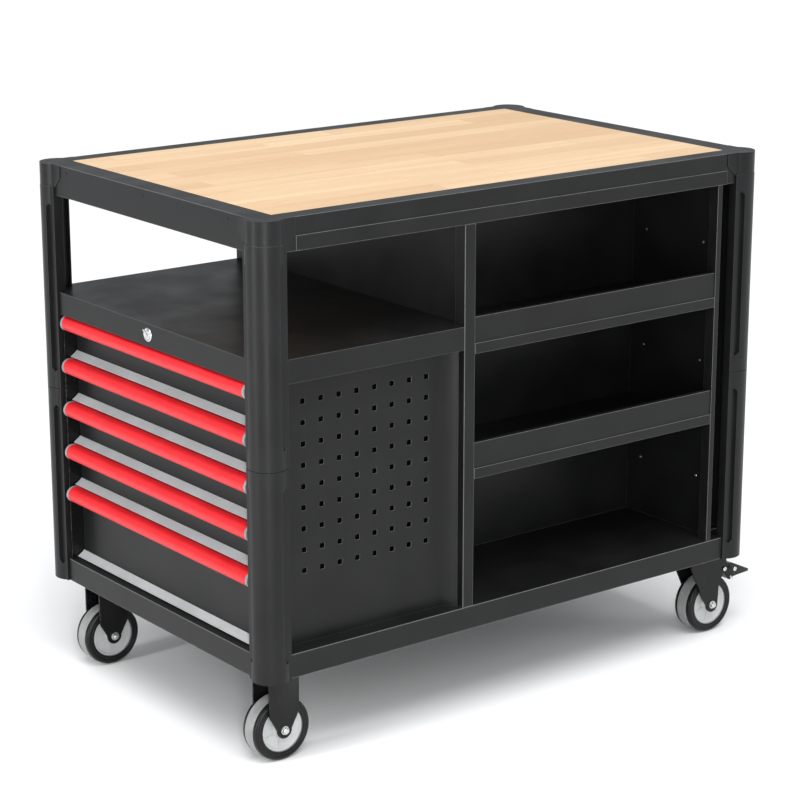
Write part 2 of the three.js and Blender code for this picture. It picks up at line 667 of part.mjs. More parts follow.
bench.add(
  mesh('worktop_board', worktopBoard, beech),
  mesh('top_frame', topFrame(), coating),
  ...posts,
  mesh('base_tray', baseTray(), coating),
  mesh('cabinet_top', cabinetTop(), coating),
  mesh('perforated_panel', perforatedPanel(), coating),
  mesh('rear_panel', rearPanel(), coating),
  mesh('divider_wall', dividerWall, coating),
  columnFront,
  columnRear,
  mesh('shelf_upper', shelf(SHELF_TOPS[0]), coating),
  mesh('shelf_middle', shelf(SHELF_TOPS[1]), coating),
  mesh('bay_back', bayBack, coating),
  mesh('bay_side', baySide(), coating),
  mesh('end_panel', endPanel, coating),
  mesh('slide_rack_front', slideRack(RACK.inset, 1), darkSteel),
  mesh('slide_rack_rear', slideRack(DEPTH - RACK.inset, -1), darkSteel),
  mesh('lock_plug', lockPlug(), brightSteel),
);

for (let index = 0; index < DRAWER.count; index++) {
  bench.add(
    ...drawerSheets(index),
    mesh(`drawer_handle_${index + 1}`, drawerHandle(drawerLevels(index)), redGrip),
  );
}

for (const [side, y] of [['front', CASTER_Y], ['rear', DEPTH - CASTER_Y]]) {
  bench.add(fixedCaster(side, y), swivelCaster(side, y));
}

export default bench;
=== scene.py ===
# %% [markdown]
# # A mobile workbench, finished in Blender
# The imported model is the frame: every body, joint and size comes from it. This lesson puts the real
# surface on each piece: rounded folds, powder coat, laminated wood, red grips, rubber and zinc.
# It is read from top to bottom, and many cells print what they made.

# %% The frame
import json
import math

import bmesh
import bpy
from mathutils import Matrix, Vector


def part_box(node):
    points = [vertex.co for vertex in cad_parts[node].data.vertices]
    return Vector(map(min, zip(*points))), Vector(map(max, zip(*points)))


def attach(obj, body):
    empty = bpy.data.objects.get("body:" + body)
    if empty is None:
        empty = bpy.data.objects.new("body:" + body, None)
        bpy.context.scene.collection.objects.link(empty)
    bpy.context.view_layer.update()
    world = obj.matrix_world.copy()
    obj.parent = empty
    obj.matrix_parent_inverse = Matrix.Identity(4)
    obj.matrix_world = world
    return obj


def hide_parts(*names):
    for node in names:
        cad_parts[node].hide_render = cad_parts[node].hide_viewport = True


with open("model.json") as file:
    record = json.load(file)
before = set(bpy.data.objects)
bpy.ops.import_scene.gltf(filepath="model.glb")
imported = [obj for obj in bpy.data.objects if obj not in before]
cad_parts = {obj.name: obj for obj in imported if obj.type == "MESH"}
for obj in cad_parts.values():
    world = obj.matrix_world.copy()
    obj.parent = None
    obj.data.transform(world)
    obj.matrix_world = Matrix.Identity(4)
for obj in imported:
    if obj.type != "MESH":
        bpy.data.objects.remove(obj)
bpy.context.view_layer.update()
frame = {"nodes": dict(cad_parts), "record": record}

MM = 0.001
RECORD = frame["record"]
BODY_OF = {node: body for body, nodes in RECORD["behaviour"]["bodies"].items() for node in nodes}
SLOT_OF = {row["node"]: row["material_slot"] for row in RECORD["subparts"]}

# %% [markdown]
# ## Camera
# A long lens from the drawer end, a little above the worktop. It could be placed by three typed
# numbers. It is placed by a direction and a distance instead, because those say what a photographer
# does: walk round the bench, raise the tripod, step back.

# %% Camera
board_low, board_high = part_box("worktop_board")
AIM = Vector(((board_low.x + board_high.x) / 2, (board_low.y + board_high.y) / 2 + 0.005, 0.443))
AZIMUTH, ELEVATION, DISTANCE, LENS = -37.41, 15.54, 4.117, 109.48


def from_aim(azimuth, elevation, distance, aim=AIM):
    """A point seen from the aim at an azimuth (0 is the front side) and an elevation, in degrees."""
    turn, rise = math.radians(azimuth), math.radians(elevation)
    level = math.cos(rise)
    return aim + distance * Vector((math.sin(turn) * level, -math.cos(turn) * level, math.sin(rise)))


def facing(thing, target):
    """Turns a camera or lamp towards a point."""
    thing.rotation_euler = (target - thing.location).to_track_quat("-Z", "Y").to_euler()


camera = bpy.data.objects.new("studio_camera", bpy.data.cameras.new("studio_camera"))
camera.data.lens = LENS
camera.data.clip_end = 100
camera.location = from_aim(AZIMUTH, ELEVATION, DISTANCE)
facing(camera, AIM)
bpy.context.scene.collection.objects.link(camera)
bpy.context.scene.camera = camera
print("camera at", [round(v, 3) for v in camera.location])

# %% [markdown]
# ## Studio
# A pale floor that runs past the picture, an even pale sky, one soft sun from above for the floor and
# the wood, and tall soft boxes whose reflections draw the long light lines on the round posts. Dark
# powder coat is drawn mostly by what it reflects, so the boxes matter more than their brightness.

# %% Studio
FLOOR_HALF = 40.0
SKY = (0.93, 0.96, 1.0, 1.0)


def lamp(name, kind, energy, azimuth, elevation, distance, **settings):
    """A lamp placed round the bench and turned towards it."""
    light = bpy.data.lights.new(name, kind)
    light.energy = energy
    for key, value in settings.items():
        setattr(light, key, value)
    made = bpy.data.objects.new(name, light)
    made.location = from_aim(azimuth, elevation, distance)
    facing(made, AIM)
    bpy.context.scene.collection.objects.link(made)
    return made


lamp("sun_above", "SUN", 2.5, -25, 66, 6, angle=math.radians(40))
lamp("box_left", "AREA", 42, -92, 14, 3.2, shape="RECTANGLE", size=0.3, size_y=2.6)
lamp("box_front", "AREA", 60, -35, 12, 3.6, shape="RECTANGLE", size=0.14, size_y=2.6)
lamp("box_far", "AREA", 14, 52, 24, 3.6, shape="RECTANGLE", size=0.5, size_y=2.2)

world = bpy.data.worlds.new("studio")
bpy.context.scene.world = world
world.use_nodes = True
world.node_tree.nodes["Background"].inputs["Color"].default_value = SKY
world.node_tree.nodes["Background"].inputs["Strength"].default_value = 0.5
bpy.context.scene.view_settings.view_transform = "Standard"

# %% [markdown]
# ## Short words for nodes
# Materials and Geometry Nodes are both node trees. One small class adds a node, sets its inputs and
# joins them in a single call, so that each recipe below reads like a list of ingredients.


# %% Node helper
class Net:
    """A node tree with short calls to add and join nodes."""

    def __init__(self, tree):
        self.tree = tree

    def add(self, kind, inputs=None, **settings):
        node = self.tree.nodes.new(kind)
        for key, value in settings.items():
            setattr(node, key, value)
        for key, value in (inputs or {}).items():
            if isinstance(value, bpy.types.NodeSocket):
                self.tree.links.new(value, node.inputs[key])
            else:
                node.inputs[key].default_value = value
        return node

    def math(self, operation, a, b=0.0, clamp=False):
        return self.add("ShaderNodeMath", {0: a, 1: b}, operation=operation, use_clamp=clamp).outputs[0]

    def blend(self, amount, a, b):
        """A colour between a and b."""
        return self.add("ShaderNodeMix", {0: amount, 6: a, 7: b}, data_type="RGBA").outputs[2]

    def span(self, value, low, high, to_low=0.0, to_high=1.0):
        """A value stretched from one range to another and held there."""
        inputs = {"Value": value, "From Min": low, "From Max": high, "To Min": to_low, "To Max": to_high}
        return self.add("ShaderNodeMapRange", inputs).outputs[0]

    def noise(self, vector, scale, detail=2.0, rough=0.5):
        inputs = {"Vector": vector, "Scale": scale, "Detail": detail, "Roughness": rough}
        return self.add("ShaderNodeTexNoise", inputs).outputs["Fac"]

    def place(self, stretch=(1, 1, 1)):
        """Object coordinates in metres, stretched along each axis."""
        where = self.add("ShaderNodeTexCoord").outputs["Object"]
        return self.add("ShaderNodeMapping", {"Vector": where, "Scale": stretch}).outputs[0]


def shader_group(name, inputs, outputs):
    """A shader node group with named float inputs and outputs, and its two end nodes."""
    tree = bpy.data.node_groups.new(name, "ShaderNodeTree")
    for key, value in inputs.items():
        tree.interface.new_socket(key, in_out="INPUT", socket_type="NodeSocketFloat").default_value = value
    for key in outputs:
        tree.interface.new_socket(key, in_out="OUTPUT", socket_type="NodeSocketFloat")
    net = Net(tree)
    return net, net.add("NodeGroupInput").outputs, net.add("NodeGroupOutput").inputs


def use_group(net, group, **values):
    """Places a group in a material, with its own values."""
    node = net.add("ShaderNodeGroup", node_tree=group.tree)
    for key, value in values.items():
        node.inputs[key.replace("_", " ").capitalize()].default_value = value
    return node.outputs


# %% [markdown]
# ## Effects that several finishes share
# *Grain* is the orange-peel of powder coat and moulded plastic: fine bumps, with wide soft patches
# where the coat lies thicker. *Wear and sheen* shows on rounded folds only: the pieces below carry an
# attribute called edge, and a noise breaks it up. On the plastics it is wear; on the paints its pale
# colour is mostly a painted highlight, the light line that a fold catches. *Streaks* are the fine lines
# left by drawing, rolling or brushing along one direction.

# %% Shared effects
grain, given, out = shader_group("grain", {"Size": 0.8, "Patch": 60.0}, ["Height", "Patches"])
spot = grain.place()
per_metre = grain.math("DIVIDE", 1000.0, given["Size"])
patch_scale = grain.math("DIVIDE", 1000.0, given["Patch"])
grain.tree.links.new(grain.noise(spot, per_metre, 2.0), out["Height"])
grain.tree.links.new(grain.span(grain.noise(spot, patch_scale, 4.0), 0.3, 0.7), out["Patches"])

# The rounded-edge mask, broken by noise: wear on the plastics, a painted fold highlight on the paints.
wear_and_sheen, given, out = shader_group("wear_and_sheen", {"Amount": 0.3, "Size": 9.0}, ["Mask"])
on_edge = wear_and_sheen.add("ShaderNodeAttribute", attribute_name="edge").outputs["Fac"]
edge_breakup = wear_and_sheen.noise(wear_and_sheen.place(), wear_and_sheen.math("DIVIDE", 1000.0, given["Size"]), 5.0, 0.65)
start = wear_and_sheen.math("SUBTRACT", 0.8, given["Amount"])
broken = wear_and_sheen.span(edge_breakup, start, wear_and_sheen.math("ADD", start, 0.18))
wear_and_sheen.tree.links.new(wear_and_sheen.math("MULTIPLY", on_edge, broken), out["Mask"])

streaks, given, out = shader_group("streaks", {"Along x": 1.0, "Along y": 1.0, "Along z": 1.0}, ["Lines"])
stretch = streaks.add("ShaderNodeCombineXYZ", {0: given[0], 1: given[1], 2: given[2]}).outputs[0]
where = streaks.add("ShaderNodeTexCoord").outputs["Object"]
drawn = streaks.add("ShaderNodeVectorMath", {0: where, 1: stretch}, operation="MULTIPLY").outputs[0]
streaks.tree.links.new(streaks.span(streaks.noise(drawn, 1.0, 3.0, 0.6), 0.25, 0.75), out["Lines"])
print("effects:", [g.name for g in bpy.data.node_groups])


# %% Finish helper
def material(name):
    """A new material: its net and its Principled BSDF."""
    made = bpy.data.materials.new(name)
    made.use_nodes = True
    return made, Net(made.node_tree), made.node_tree.nodes["Principled BSDF"]


def set_up(net, shader, height=None, strength=0.3, depth=0.0002, **sockets):
    """Sets or joins the shader's sockets, and a bump if there is a height."""
    if height is not None:
        bump = net.add("ShaderNodeBump", {"Strength": strength, "Distance": depth, "Height": height})
        net.tree.links.new(bump.outputs[0], shader.inputs["Normal"])
    for key, value in sockets.items():
        socket = shader.inputs[key.replace("_", " ")]
        if isinstance(value, bpy.types.NodeSocket):
            net.tree.links.new(value, socket)
        else:
            socket.default_value = value


def grey(value, tint=(1.0, 1.0, 1.0)):
    return (value * tint[0], value * tint[1], value * tint[2], 1.0)


# %% [markdown]
# ## Powder coat
# Charcoal-black paint baked on to folded sheet. Up close it has a fine grain; from a step back the coat
# looks slightly cloudy. The rounded folds are painted pale: a painted highlight for the light line that
# the folds catch, broken by noise like wear. The same recipe makes the half-gloss enamel of the caster
# forks, with less grain and a smoother surface.


# %% Powder coat and enamel
def paint(name, dark, light, edge, rough, grain_size, depth, amount, shine):
    made, net, shader = material(name)
    texture = use_group(net, grain, Size=grain_size, Patch=70.0)
    wear_and_sheen_mask = use_group(net, wear_and_sheen, Amount=amount, Size=7.0)["Mask"]
    film = net.blend(texture["Patches"], grey(dark, (0.97, 0.99, 1.03)), grey(light, (0.97, 0.99, 1.03)))
    # Painted highlight: the edge colour lays a pale line on the rounded folds, broken by noise like wear.
    colour = net.blend(wear_and_sheen_mask, film, grey(edge))
    set_up(net, shader, texture["Height"], 0.35, depth, Base_Color=colour,
           Roughness=net.span(texture["Patches"], 0.0, 1.0, rough - 0.05, rough + 0.06),
           Specular_IOR_Level=shine)
    return made


# Edge greys 0.11 and 0.08 over a near-black film paint highlight lines on most rounded folds.
COAT = paint("powder_coat", 0.0072, 0.0110, 0.11, 0.37, 0.9, 0.00012, 0.55, 0.22)
ENAMEL = paint("black_enamel", 0.0045, 0.0075, 0.08, 0.26, 1.6, 0.00005, 0.35, 0.22)

# %% [markdown]
# ## Wood
# The board is glued up from narrow staves of pale hardwood, each cut from another plank, so each has a
# tone and a grain of its own. A brick pattern gives the staves and their random tones; stretched noise
# gives fibres, slow rings and the short dark flecks. A clear lacquer lies over it as a thin coat.

# %% Wood
BEECH, net, shader = material("laminated_beech")
flat = net.place()
staves = net.add("ShaderNodeTexBrick", {
    "Vector": flat, "Color1": grey(0.0), "Color2": grey(1.0), "Mortar": grey(0.5), "Scale": 1.0,
    "Mortar Size": 0.00035, "Mortar Smooth": 0.6, "Brick Width": 0.43, "Row Height": 0.047}, offset=0.37)
tone = net.add("ShaderNodeSeparateColor", {0: staves.outputs["Color"]}).outputs[0]
shift = net.add("ShaderNodeCombineXYZ", {
    0: net.math("MULTIPLY", tone, 7.0), 1: net.math("MULTIPLY", tone, 3.1)})
own = net.add("ShaderNodeVectorMath", {0: flat, 1: shift.outputs[0]}, operation="ADD").outputs[0]


def along_grain(x, y):
    return net.add("ShaderNodeMapping", {"Vector": own, "Scale": (x, y, y)}).outputs[0]


fibres = net.noise(along_grain(9, 420), 1.0, 4.0, 0.65)
rings = net.noise(along_grain(2.2, 46), 1.0, 3.0, 0.55)
flecks = net.span(net.noise(along_grain(70, 900), 1.0, 1.0), 0.62, 0.74)
base = net.blend(tone, (0.71, 0.445, 0.222, 1), (0.88, 0.625, 0.365, 1))
base = net.blend(net.span(rings, 0.35, 0.7, 0.0, 0.5), base, (0.66, 0.40, 0.19, 1))
base = net.blend(net.span(fibres, 0.4, 0.75, 0.0, 0.35), base, (0.92, 0.70, 0.45, 1))
base = net.blend(net.math("MULTIPLY", flecks, 0.35), base, (0.42, 0.23, 0.10, 1))
base = net.blend(net.math("MULTIPLY", staves.outputs["Fac"], 0.5), base, (0.45, 0.26, 0.12, 1))
set_up(net, shader, fibres, 0.12, 0.0001, Base_Color=base,
       Roughness=net.span(fibres, 0.3, 0.7, 0.36, 0.5), Coat_Weight=0.25, Coat_Roughness=0.25)

# %% [markdown]
# ## Plastics, rubber and zinc
# Red grips: a moulded plastic with a satin skin. Grey plastic: hubs, grip ends and the label strips.
# Rubber: black shoulders and a tread band scuffed to grey, which follows an attribute called tread.
# Zinc: bright plated steel for bolts, runners and the lock, with fine drawing lines.


# %% Plastics
def plastic(name, low, high, rough, size, coat=0.0, depth=0.00004):
    made, net, shader = material(name)
    texture = use_group(net, grain, Size=size, Patch=45.0)
    wear_and_sheen_mask = use_group(net, wear_and_sheen, Amount=0.2, Size=6.0)["Mask"]
    colour = net.blend(texture["Patches"], low, high)
    scuffed = net.blend(net.math("MULTIPLY", wear_and_sheen_mask, 0.35), colour, grey(0.6))
    set_up(net, shader, texture["Height"], 0.25, depth, Base_Color=scuffed,
           Roughness=net.span(texture["Patches"], 0.0, 1.0, rough - 0.04, rough + 0.05),
           Coat_Weight=coat, Coat_Roughness=0.2)
    return made


RED = plastic("red_grip_skin", (0.56, 0.006, 0.011, 1), (0.64, 0.010, 0.016, 1), 0.42, 1.1)
PALE = plastic("pale_hub_plastic", (0.42, 0.43, 0.43, 1), (0.48, 0.49, 0.49, 1), 0.42, 0.7)
LABEL = plastic("label_strip_plastic", (0.36, 0.37, 0.375, 1), (0.43, 0.44, 0.445, 1), 0.38, 0.9)
END_GREY = plastic("grip_end_plastic", (0.17, 0.20, 0.21, 1), (0.24, 0.27, 0.28, 1), 0.34, 0.8)

# %% Rubber
RUBBER, net, shader = material("tyre_rubber")
texture = use_group(net, grain, Size=1.4, Patch=18.0)
band = net.add("ShaderNodeAttribute", attribute_name="tread").outputs["Fac"]
scuff = net.math("MULTIPLY", band, net.span(texture["Patches"], 0.0, 1.0, 0.75, 1.0))
set_up(net, shader, texture["Height"], 0.3, 0.0001,
       Base_Color=net.blend(scuff, grey(0.007), grey(0.30)),
       Roughness=net.span(scuff, 0.0, 1.0, 0.24, 0.55), Specular_IOR_Level=0.22)


# %% Zinc
def metal(name, low, high, rough, lines):
    made, net, shader = material(name)
    drawn = use_group(net, streaks)
    for key, value in zip(("Along x", "Along y", "Along z"), lines):
        net.tree.nodes[-1].inputs[key].default_value = value
    texture = use_group(net, grain, Size=2.2, Patch=14.0)
    colour = net.blend(net.math("MULTIPLY", texture["Patches"], 0.6), grey(low), grey(high, (1.0, 1.0, 1.03)))
    set_up(net, shader, drawn["Lines"], 0.1, 0.00005, Base_Color=colour, Metallic=1.0,
           Roughness=net.span(drawn["Lines"], 0.0, 1.0, rough - 0.06, rough + 0.1))
    return made


ZINC = metal("bright_zinc", 0.62, 0.78, 0.26, (300, 300, 300))
SLIDE = metal("drawn_slide_steel", 0.42, 0.55, 0.34, (12, 900, 900))
LOOK_OF = {"coating": COAT, "dark_steel": ENAMEL, "beech": BEECH, "red_grip": RED,
           "grey_plastic": PALE, "bright_steel": ZINC, "tyre": RUBBER}
print("finishes:", [m.name for m in bpy.data.materials if m.users or m.use_nodes][:16])

# %% [markdown]
# ## From a shape to a finished piece
# Folded sheet has no knife edges: the bend has a radius and the cut edge is deburred. Each piece goes
# through one function that rounds its outward edges, marks the rounding with the edge attribute for the
# wear and painted fold highlight, and weights the normals so that flats stay flat and the rounding
# carries the shine.


# %% Finished piece
def finished(name, shape, looks, rounding=0.6, fold=30.0, pick=None, segments=2):
    """Rounds the outward edges of a bmesh and makes it an object. Rounding is in millimetres."""
    edge = shape.faces.layers.float.new("edge")
    folds = [e for e in shape.edges if len(e.link_faces) == 2
             and e.calc_face_angle_signed(0) > math.radians(fold)]
    if rounding and folds:
        rounded = bmesh.ops.bevel(shape, geom=folds, offset=rounding * MM, offset_type="OFFSET",
                                  segments=segments, profile=0.5, affect="EDGES", clamp_overlap=True,
                                  loop_slide=True, material=-1)
        for face in rounded["faces"]:
            face[edge] = 1.0
    for face in shape.faces:
        face.smooth = True
        if pick:
            face.material_index = pick(face.calc_center_median(), face.normal)
    rough = bpy.data.meshes.new(name)
    shape.to_mesh(rough)
    shape.free()
    for look in looks:
        rough.materials.append(look)
    rough.set_sharp_from_angle(angle=math.radians(50))
    piece = bpy.data.objects.new(name, rough)
    bpy.context.scene.collection.objects.link(piece)
    weigh = piece.modifiers.new("weigh", "WEIGHTED_NORMAL")
    weigh.keep_sharp = True
    depsgraph = bpy.context.evaluated_depsgraph_get()
    piece.data = bpy.data.meshes.new_from_object(
        piece.evaluated_get(depsgraph), preserve_all_data_layers=True, depsgraph=depsgraph)
    piece.data.name = name
    piece.modifiers.clear()
    bpy.data.meshes.remove(rough)
    return piece


def belongs(piece, body, slot, *nodes):
    """Rides a piece on its body and lets it stand for CAD nodes. The slot is not used."""
    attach(piece, body)
    if nodes:
        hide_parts(*nodes)
    return piece


def from_cad(node):
    """A merged copy of a CAD node with its flat triangles joined into faces."""
    shape = bmesh.new()
    shape.from_mesh(frame["nodes"][node].data)
    bmesh.ops.remove_doubles(shape, verts=shape.verts, dist=2e-5)
    bmesh.ops.dissolve_limit(shape, angle_limit=math.radians(0.8), verts=shape.verts, edges=shape.edges)
    return shape


def refined(node, look=None, rounding=0.6, **more):
    """A CAD node as a finished piece with the same size and place."""
    look = look or [LOOK_OF[SLOT_OF[node]]]
    piece = finished("finished_" + node, from_cad(node), look, rounding, **more)
    return belongs(piece, BODY_OF[node], SLOT_OF[node], node)


# %% [markdown]
# ## Folded sheet: frame, posts, base, panels and shelves
# These are the bench itself. Their shapes are right in the model, so they are copied, merged and
# rounded; nothing is moved. Thick rails get a wider bend radius than thin panels.

# %% Folded sheet
CORNERS = ["front_left", "front_right", "rear_right", "rear_left"]
SHEETS = {
    1.6: [kind + "_" + corner for kind in ("corner_cap", "post_upper", "post_lower") for corner in CORNERS],
    1.0: ["top_frame", "base_tray", "cabinet_top", "column_front", "column_rear"],
    0.6: ["rear_panel", "divider_wall", "bay_back", "bay_side", "end_panel", "shelf_upper", "shelf_middle"],
}
for rounding, nodes in SHEETS.items():
    for node in nodes:
        piece = refined(node, rounding=rounding)
        print(node, len(piece.data.polygons), "faces")

# %% [markdown]
# ## Casters: forks, plates and pedals
# Pressed and enamelled steel, glossier than the sheet. The same rounding shows their thickness.

# %% Forks, plates and pedals
SIDES = ["front", "rear"]
for side in SIDES:
    for kind in ("fixed_fork", "swivel_plate", "swivel_fork", "brake_pedal"):
        refined(f"{kind}_{side}", rounding=0.7)
print("pressed steel on", 2 * len(SIDES), "casters")

# %% [markdown]
# ## Worktop board
# One thick glued board. Only its upper edge shows, as a fine rounded line against the frame.

# %% Worktop board
board = refined("worktop_board", rounding=0.8)
print("board", [round(v * 1000) for v in board.dimensions], "mm")

# %% [markdown]
# ## Drawing with sections
# Grips, strips and wheels are all a flat section that is pulled along a line or turned round an axis.
# Curves with a bevel could do it, but a section pushed through bmesh gives a closed mesh with exact
# corners at once, so two small functions serve every such piece.


# %% Sections
def arc(centre, radius, first, last, steps):
    """Points of an arc in the x-z plane, angles in degrees."""
    turns = [math.radians(first + (last - first) * i / steps) for i in range(steps + 1)]
    return [centre + radius * Vector((math.cos(t), math.sin(t))) for t in turns]


def thickened(path, thickness):
    """A closed section: a path of points and its copy moved to the path's right."""
    inner = []
    for i, point in enumerate(path):
        ahead = (path[min(i + 1, len(path) - 1)] - path[max(i - 1, 0)]).normalized()
        inner.append(point + thickness * Vector((ahead.y, -ahead.x)))
    return path + inner[::-1]


def pulled(section, start, end):
    """A bmesh prism: an x-z section pulled along y."""
    shape = bmesh.new()
    ends = [[shape.verts.new((x, y, z)) for x, z in section] for y in (start, end)]
    for ring in ends:
        shape.faces.new(ring)
    for i in range(len(section)):
        j = (i + 1) % len(section)
        shape.faces.new((ends[0][i], ends[0][j], ends[1][j], ends[1][i]))
    bmesh.ops.recalc_face_normals(shape, faces=shape.faces)
    return shape


def turned(section, centre, steps=96, axis="y"):
    """A bmesh ring: a closed section of (radius, along) points turned about an axis."""
    shape = bmesh.new()
    rings = []
    for i in range(steps):
        t = 2 * math.pi * i / steps
        across = (math.cos(t), math.sin(t))
        spots = [(r * across[0], a, r * across[1]) if axis == "y" else (a, r * across[0], r * across[1])
                 for r, a in section]
        rings.append([shape.verts.new(Vector(spot) + centre) for spot in spots])
    for i in range(steps):
        one, two = rings[i], rings[(i + 1) % steps]
        for k in range(len(section)):
            n = (k + 1) % len(section)
            shape.faces.new((one[k], one[n], two[n], two[k]))
    bmesh.ops.remove_doubles(shape, verts=shape.verts, dist=1e-6)
    loose = [e for e in shape.edges if not e.link_faces]
    bmesh.ops.delete(shape, geom=loose, context="EDGES")
    bmesh.ops.recalc_face_normals(shape, faces=shape.faces)
    return shape


print("an arc of 8 steps has", len(arc(Vector((0, 0)), 1, 0, 90, 8)), "points")

# %% [markdown]
# ## Drawer boxes and slide racks
# The box and its front are folded sheet. The runner bars along the sides and the rails on the racks are
# bare drawn steel, so those faces take another material, picked by where they are.


# %% Drawer boxes
def runner_face(node, from_edge, behind):
    """Picks the second material for faces of the bars beside a drawer box."""
    low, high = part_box(node)
    return lambda at, out: int(at.x > low.x + behind
                               and min(at.y - low.y, high.y - at.y) < from_edge)


DRAWERS = range(1, 6)
BARS = {i: (11.5 * MM, 25 * MM) for i in DRAWERS} | {5: (6.5 * MM, 10 * MM)}
for i in DRAWERS:
    node = f"drawer_box_{i}"
    refined(node, [COAT, SLIDE], 0.6, pick=runner_face(node, *BARS[i]))


def rail_face(node, wall):
    """Picks the second material for faces that stand proud of a rack's plate."""
    low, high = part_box(node)
    outer = low.y if abs(low.y) > abs(high.y) else high.y
    return lambda at, out: int(abs(at.y - outer) > wall)


for side in SIDES:
    node = f"slide_rack_{side}"
    refined(node, [ENAMEL, SLIDE], 0.5, pick=rail_face(node, 1.6 * MM))
refined("drawer_front_5", rounding=0.6)
print("drawer boxes and racks:", len(DRAWERS), "and", len(SIDES))

# %% [markdown]
# ## Red grips, their grey ends, and the label strips
# A plastic grip is clipped along the top of each drawer: a flat top that rolls over the front. A grey
# moulded cap closes each end. Lower down, a slanted lip carries a grey strip for paper labels, held
# by two thin raised edges. All three are sections pulled across the drawer.

# %% Grips and strips
ROLL = 13 * MM
GRIP_WALL = 2.4 * MM
CAP_LENGTH = 5 * MM
STRIP = {"thick": 1.1 * MM, "edge": 1.6 * MM, "raised": 0.5 * MM}
FRONT_NODES = {i: f"drawer_box_{i}" for i in DRAWERS} | {5: "drawer_front_5"}
LIP_RUN, LIP_RISE = 12.5 * MM, 9 * MM


def grip_section(low, high, proud=0.0):
    """The outer path of a grip, from its back edge over the roll to the finger edge."""
    centre = Vector((low.x + ROLL, high.z - ROLL))
    return [Vector((high.x, high.z + proud))] + arc(centre, ROLL + proud, 90, 232, 26)


for i in DRAWERS:
    node, body = f"drawer_handle_{i}", f"drawer_{i}"
    low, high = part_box(node)
    skin = thickened(grip_section(low, high)[::-1], GRIP_WALL)
    grip = finished(f"grip_{i}", pulled(skin, low.y + CAP_LENGTH, high.y - CAP_LENGTH), [RED], 0.5)
    belongs(grip, body, "red_grip", node)
    crescent = grip_section(low, high, 0.35 * MM)
    crescent.append(Vector((high.x, high.z - 9 * MM)))
    for end, start in (("near", low.y), ("far", high.y - CAP_LENGTH)):
        cap = finished(f"grip_end_{i}_{end}", pulled(crescent, start, start + CAP_LENGTH), [END_GREY], 0.6)
        belongs(cap, body, "grey_plastic")

    low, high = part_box(FRONT_NODES[i])
    foot = Vector((low.x + 3.5 * MM, low.z))
    along = Vector((LIP_RUN, LIP_RISE)).normalized()
    proud = Vector((-along.y, along.x))
    length = math.hypot(LIP_RUN, LIP_RISE)
    edge, thick, raised = STRIP["edge"], STRIP["thick"], STRIP["raised"]
    heights = [(0, 0.05 * MM), (length, 0.05 * MM), (length, thick + raised), (length - edge, thick + raised),
               (length - edge - raised, thick), (edge + raised, thick), (edge, thick + raised),
               (0, thick + raised)]
    section = [foot + along * run + proud * rise for run, rise in heights]
    strip = finished(f"label_strip_{i}", pulled(section, low.y + MM, high.y - MM), [LABEL], 0.25, fold=20)
    belongs(strip, body, "grey_plastic")

# %% [markdown]
# ## Tyres
# A solid rubber tyre has a crowned tread between two fine grooves, a soft shoulder and a flat wall with
# a moulded ring. The tread band carries an attribute of its own, because it is scuffed to grey where it
# rolls while the walls stay black and glossy.

# %% Tyres
KINDS = ["fixed", "swivel"]
TYRE_WALL = [(50.8, 14.5), (50.4, 16.2), (49.7, 17.6), (48.6, 18.8), (47.2, 19.6), (45.6, 19.9),
             (43.6, 19.5), (42.8, 18.9), (42.0, 19.4), (40.6, 19.6), (38.4, 19.3), (37.0, 18.1)]


def tyre_section():
    """Radius and place along the axle, round the whole section of a tyre, in metres."""
    crown = [(51.0 - 0.0009 * y * y, y) for y in (-10.8, -8, -4, 0, 4, 8, 10.8)]
    groove = [(50.3, 11.2), (50.3, 11.8), (50.85, 12.1)]
    half = groove + TYRE_WALL
    whole = [(r, -y) for r, y in half[::-1]] + crown + half
    return [(r * MM, y * MM) for r, y in whole]


def wheel_centre(kind, side):
    low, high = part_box(f"{kind}_tyre_{side}")
    return (low + high) / 2


for kind in KINDS:
    for side in SIDES:
        centre = wheel_centre(kind, side)
        shape = turned(tyre_section(), centre, 120)
        tread = shape.faces.layers.float.new("tread")
        for face in shape.faces:
            at = face.calc_center_median() - centre
            face[tread] = float(abs(at.y) < 10.9 * MM)
        tyre = finished(f"tyre_{kind}_{side}", shape, [RUBBER], 0)
        belongs(tyre, f"{kind}_wheel_{side}", "tyre", f"{kind}_tyre_{side}")
print("tyre section points:", len(tyre_section()))

# %% [markdown]
# ## Wheel hubs
# A pale moulded hub: a rim lip, a shallow dish stiffened by six thin ribs, and a boss round the axle.
# The dish is turned. The ribs repeat round it, so Geometry Nodes set one rib on each point of a circle,
# and the two are joined into one mesh.


# %% Geometry Nodes helper
def node_tree(name, **inputs):
    """A geometry tree with named inputs after the geometry one, and its two ends."""
    tree = bpy.data.node_groups.new(name, "GeometryNodeTree")
    tree.interface.new_socket("Geometry", in_out="INPUT", socket_type="NodeSocketGeometry")
    for key, kind in inputs.items():
        tree.interface.new_socket(key, in_out="INPUT", socket_type="NodeSocket" + kind)
    tree.interface.new_socket("Geometry", in_out="OUTPUT", socket_type="NodeSocketGeometry")
    net = Net(tree)
    return net, net.add("NodeGroupInput").outputs, net.add("NodeGroupOutput").inputs


